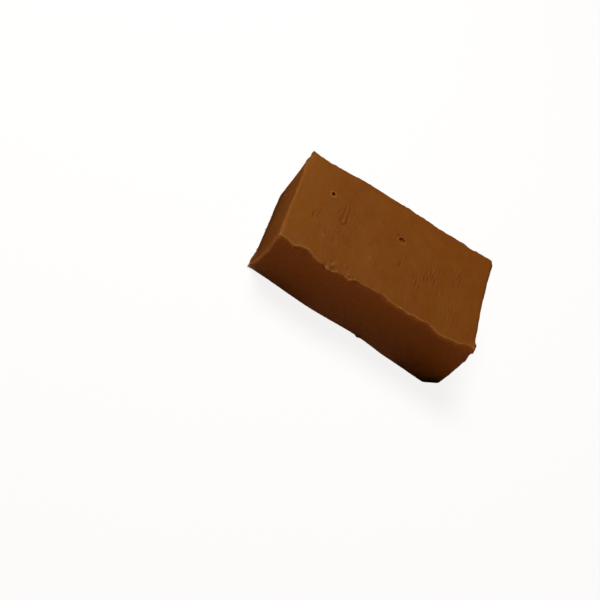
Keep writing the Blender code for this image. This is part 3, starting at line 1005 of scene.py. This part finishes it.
def milk_chocolate_nougat():
    """Smooth milk-chocolate nougat, knife cut: a dense matt brown, never quite even."""
    material, tree, shader = new_material("milk_chocolate_nougat")
    place = add(tree, "ShaderNodeTexCoord").outputs["Object"]
    knife_way = add(tree, "ShaderNodeUVMap", {"uv_map": "knife_way"}).outputs["UV"]
    # the streaks of the knife's drag are 0.4 mm across and 4 mm long
    streak = {"Scale": (1 / (0.42 * MM), 1 / (3.8 * MM), 1.0)}
    along_knife = add(tree, "ShaderNodeMapping", streak, {"Vector": knife_way}).outputs["Vector"]
    values = {
        name: add(tree, "ShaderNodeAttribute", {"attribute_name": name}).outputs["Fac"]
        for name in FINISHES
    }
    values["across"] = add(tree, "ShaderNodeSeparateXYZ", (), {"Vector": place}).outputs["X"]

    # patterns: size in metres, detail and where they are read. The brown drifts slowly,
    # because butter and cocoa never mix quite evenly. The real grain of sugar and cocoa
    # is 0.03 mm, drawn at 0.25 mm so that it shows.
    patterns = {
        "drift": (12 * MM, 2.0, place),
        "blush": (5 * MM, 3.0, place),
        "satin": (3 * MM, 2.0, place),
        "lumps": (0.8 * MM, 3.0, place),
        "grain": (0.25 * MM, 2.0, place),
        "streaks": (1.0, 1.0, along_knife),
    }
    for name, (size, detail, vector) in patterns.items():
        settings = {"Scale": 1 / size, "Detail": detail, "Roughness": 0.5}
        values[name] = add(tree, "ShaderNodeTexNoise", settings, {"Vector": vector}).outputs["Fac"]

    # rare dark specks of cocoa, 0.3 mm across and some 8 mm apart
    cells = add(tree, "ShaderNodeTexVoronoi", {"Scale": 1 / (4.5 * MM)}, {"Vector": place})
    picked = add(tree, "ShaderNodeSeparateColor", (), {"Color": cells.outputs["Color"]})
    values["from_speck"] = cells.outputs["Distance"]
    values["picked"] = picked.outputs["Red"]

    # shares: what they follow, where they start and where they are full, low and high
    shares = {
        "paler": ("drift", 0.35, 0.68, 0.0, 1.0),
        "redder": ("blush", 0.50, 0.75, 0.0, 0.7),
        "left_end": ("across", -16 * MM, -34 * MM, 0.0, 0.75),
        "left_third": ("across", -6 * MM, -20 * MM, 0.0, 1.0),
        "right_rim": ("across", 22 * MM, 33 * MM, 0.0, 1.0),
        # the left end's painted light, and its painted shade towards the base
        "end_middle": ("on_end", 0.0, 1.0, 0.0, 1.0),
        "end_shade": ("on_end", 1.0, 2.0, 0.0, 1.0),
        "own_skin": ("sliced", 1.0, 0.0, 0.0, 1.0),
        "high_streak": ("streaks", 0.58, 0.70, 0.0, 1.0),
        "low_streak": ("streaks", 0.42, 0.30, 0.0, 1.0),
        # painted light on a mark's shoulder and painted shade in its groove
        "shoulder": ("mark", 0.0, -1.0, 0.0, 0.8),
        "groove": ("mark", 0.0, 1.0, 0.0, 0.6),
        "dark_grain": ("grain", 0.45, 0.75, 0.0, 0.35),
        "near_speck": ("from_speck", 0.03, 0.05, 0.6, 0.0),
        "speck_cell": ("picked", 0.70, 0.72, 0.0, 1.0),
        # paler edges: wear, and painted light along the lip and on the left front foot
        "worn_and_lit": ("wear_and_light", 0.0, 0.5, 0.0, 1.0),
        "worn_and_lit_pale": ("wear_and_light", 0.45, 1.0, 0.0, 1.0),
        "satin_roughness": ("satin", 0.3, 0.7, 0.42, 0.52),
    }
    for name, (source, start, end, low, high) in shares.items():
        settings = {"interpolation_type": "SMOOTHSTEP", "From Min": start, "From Max": end}
        settings |= {"To Min": low, "To Max": high}
        share = add(tree, "ShaderNodeMapRange", settings, {"Value": values[source]})
        values[name] = share.outputs["Result"]

    # sums: each is one value with an operation on a second value or a number
    sums = {
        "yellower": ("MULTIPLY", "left_end", "own_skin"),
        # painted shade on the left third of the knife's sides
        "shade_left": ("MULTIPLY", "left_third", "sliced"),
        # painted light on the right part of the knife's sides
        "light_right": ("MULTIPLY", "right_rim", "sliced"),
        # the drag streaks: painted light on their ridges and painted shade in their furrows
        "ridge": ("MULTIPLY", "high_streak", "drag"),
        "furrow": ("MULTIPLY", "low_streak", "drag"),
        "half_ridge": ("MULTIPLY", "ridge", 0.5),
        "half_furrow": ("MULTIPLY", "furrow", 0.5),
        "speck": ("MULTIPLY", "near_speck", "speck_cell"),
        "scuff_roughness": ("MULTIPLY", "wear_and_light", 0.25),
        "roughness": ("ADD", "satin_roughness", "scuff_roughness"),
        "streak_relief": ("SUBTRACT", "ridge", "furrow"),
        "streak_height": ("MULTIPLY", "streak_relief", 0.030 * MM),
        "grain_height": ("MULTIPLY", "grain", 0.030 * MM),
        "lump_height": ("MULTIPLY", "lumps", 0.06 * MM),
        "fine_height": ("ADD", "streak_height", "grain_height"),
        "height": ("ADD", "fine_height", "lump_height"),
    }
    for name, (operation, first, second) in sums.items():
        node = add(tree, "ShaderNodeMath", {"operation": operation}, {0: values[first]})
        if isinstance(second, str):
            tree.links.new(values[second], node.inputs[1])
        else:
            node.inputs[1].default_value = second
        values[name] = node.outputs["Value"]

    # the brown, tinted step by step; some tints are painted light and shade, as marked
    start = add(tree, "ShaderNodeRGB")
    brown = start.outputs["Color"]
    brown.default_value = linear(NOUGAT_BROWN)
    tints = (
        (NOUGAT_PALER, "paler"),
        (NOUGAT_REDDER, "redder"),
        # painted shade: the knife's sides tinted for the reddish light bounced onto them
        (NOUGAT_SLICED, "sliced"),
        # painted shade on the left third of the knife's sides
        (NOUGAT_PAINTED_SHADE_LEFT, "shade_left"),
        # painted light on the right part of the knife's sides
        (NOUGAT_PAINTED_LIGHT_RIGHT, "light_right"),
        (NOUGAT_YELLOWER, "yellower"),
        # painted light on the left end, and painted shade towards its base
        (NOUGAT_END, "end_middle"),
        (NOUGAT_END_PAINTED_SHADE, "end_shade"),
        # painted light: the glow through the thin lip
        (NOUGAT_PAINTED_LIP_GLOW, "thin"),
        # painted shade on the squashed corner
        (NOUGAT_PAINTED_SHADE_CORNER, "corner_shade"),
        # painted light and shade on the drag streaks and the knife marks
        (NOUGAT_RIDGE_LIGHT, "half_ridge"),
        (NOUGAT_GRAIN_AND_FURROW_SHADE, "half_furrow"),
        (NOUGAT_RIDGE_LIGHT, "shoulder"),
        (NOUGAT_GROOVE_SHADE, "groove"),
        (NOUGAT_GRAIN_AND_FURROW_SHADE, "dark_grain"),
        (SPECK_DARK, "speck"),
        # paler edges: wear, and painted light along the lip and on the left front foot
        (WORN_AND_LIT_BROWN, "worn_and_lit"),
        (WORN_AND_LIT_PALE, "worn_and_lit_pale"),
    )
    for hex_colour, share in tints:
        settings = {"data_type": "RGBA", 7: linear(hex_colour)}
        links = {"Factor": values[share], 6: brown}
        brown = add(tree, "ShaderNodeMix", settings, links).outputs[2]
    tree.links.new(brown, shader.inputs["Base Color"])

    # satin where the knife slid, duller where it is scuffed, hardly any shine
    tree.links.new(values["roughness"], shader.inputs["Roughness"])
    shader.inputs["Specular IOR Level"].default_value = 0.06
    settings = {"Distance": 1.0, "Strength": 1.0}
    bump = add(tree, "ShaderNodeBump", settings, {"Height": values["height"]})
    tree.links.new(bump.outputs["Normal"], shader.inputs["Normal"])
    return material


def matt_card(name, hex_colour, glow_colour, glow):
    """Matt card that also glows, or not at all at a glow of nought."""
    material, _, shader = new_material(name)
    shader.inputs["Base Color"].default_value = linear(hex_colour)
    shader.inputs["Roughness"].default_value = 0.9
    shader.inputs["Specular IOR Level"].default_value = 0.0
    shader.inputs["Emission Color"].default_value = linear(glow_colour)
    shader.inputs["Emission Strength"].default_value = glow
    return material


# ======== stage ==========================================================================
def add_card(name, low, high, material):
    """A flat card between two corners, part of the stage."""
    bm = bmesh.new()
    bmesh.ops.create_grid(bm, x_segments=1, y_segments=1, size=0.5)
    size = high - low
    spread = Matrix.Diagonal((size.x, size.y, 1.0, 1.0))
    place = Matrix.Translation((low + high) / 2)
    bmesh.ops.transform(bm, matrix=place @ spread, verts=bm.verts)
    card = add_piece(name, bm, material)
    card.visible_glossy = False
    return card


def add_floor():
    """A white table top to look at, over hidden cards that set what bounces up."""
    white = matt_card("white_card", TABLE_SHADED, TABLE_WHITE, TABLE_GLOW)
    table = add_card("white_table", -TABLE_CORNER, TABLE_CORNER, white)
    table.visible_diffuse = False
    table.visible_shadow = False
    drop = Vector((0.0, 0.0, CARD_STEP * len(FLOOR_CARDS)))
    for name, low, high, colour, glow in FLOOR_CARDS:
        material = matt_card(name, colour, GLOWING_CARD, glow)
        low_corner = Vector((*low, 0.0)) * MM - drop
        high_corner = Vector((*high, 0.0)) * MM - drop
        card = add_card(name, low_corner, high_corner, material)
        card.visible_camera = False
        drop.z -= CARD_STEP


def add_light():
    data = bpy.data.lights.new("soft_key", "AREA")
    data.shape = "DISK"
    data.size = KEY_SIZE
    data.energy = KEY_WATTS
    key = bpy.data.objects.new("soft_key", data)
    way = KEY_FROM.normalized()
    key.location = way * KEY_DISTANCE
    key.rotation_euler = way.to_track_quat("Z", "Y").to_euler()
    bpy.context.scene.collection.objects.link(key)
    # the world is only a backdrop to look at: it lights nothing
    world = bpy.data.worlds.new("white_backdrop")
    world.use_nodes = True
    world.node_tree.nodes["Background"].inputs["Color"].default_value = linear(TABLE_WHITE)
    world.node_tree.nodes["Background"].inputs["Strength"].default_value = BACKDROP_GLOW
    world.cycles_visibility.diffuse = False
    world.cycles_visibility.glossy = False
    bpy.context.scene.world = world


def add_camera():
    data = bpy.data.cameras.new("camera")
    data.lens = LENS_MM
    camera = bpy.data.objects.new("camera", data)
    azimuth = math.radians(VIEW_AZIMUTH)
    elevation = math.radians(VIEW_ELEVATION)
    back = Vector(
        (
            -math.sin(azimuth) * math.cos(elevation),
            -math.cos(azimuth) * math.cos(elevation),
            math.sin(elevation),
        )
    )
    upright = back.to_track_quat("Z", "Y").to_matrix().to_4x4()
    roll = Matrix.Rotation(math.radians(VIEW_ROLL), 4, "Z")
    camera.matrix_world = Matrix.Translation(VIEW_TARGET + back * VIEW_DISTANCE) @ upright @ roll
    bpy.context.scene.collection.objects.link(camera)
    bpy.context.scene.camera = camera
    bpy.context.scene.view_settings.view_transform = "Standard"


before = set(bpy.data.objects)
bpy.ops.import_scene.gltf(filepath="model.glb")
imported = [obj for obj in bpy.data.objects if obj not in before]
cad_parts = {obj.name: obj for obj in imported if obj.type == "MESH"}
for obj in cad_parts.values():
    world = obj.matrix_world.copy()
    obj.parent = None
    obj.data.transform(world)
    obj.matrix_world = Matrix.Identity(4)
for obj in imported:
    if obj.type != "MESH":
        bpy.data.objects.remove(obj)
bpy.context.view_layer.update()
add_camera()
add_light()
add_floor()
nougat = milk_chocolate_nougat()
block, block_fit = nougat_block(nougat)
crumbs = nougat_crumbs(block_fit, nougat)
for piece in (block, crumbs):
    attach(piece, "root")
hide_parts("nougat_block")
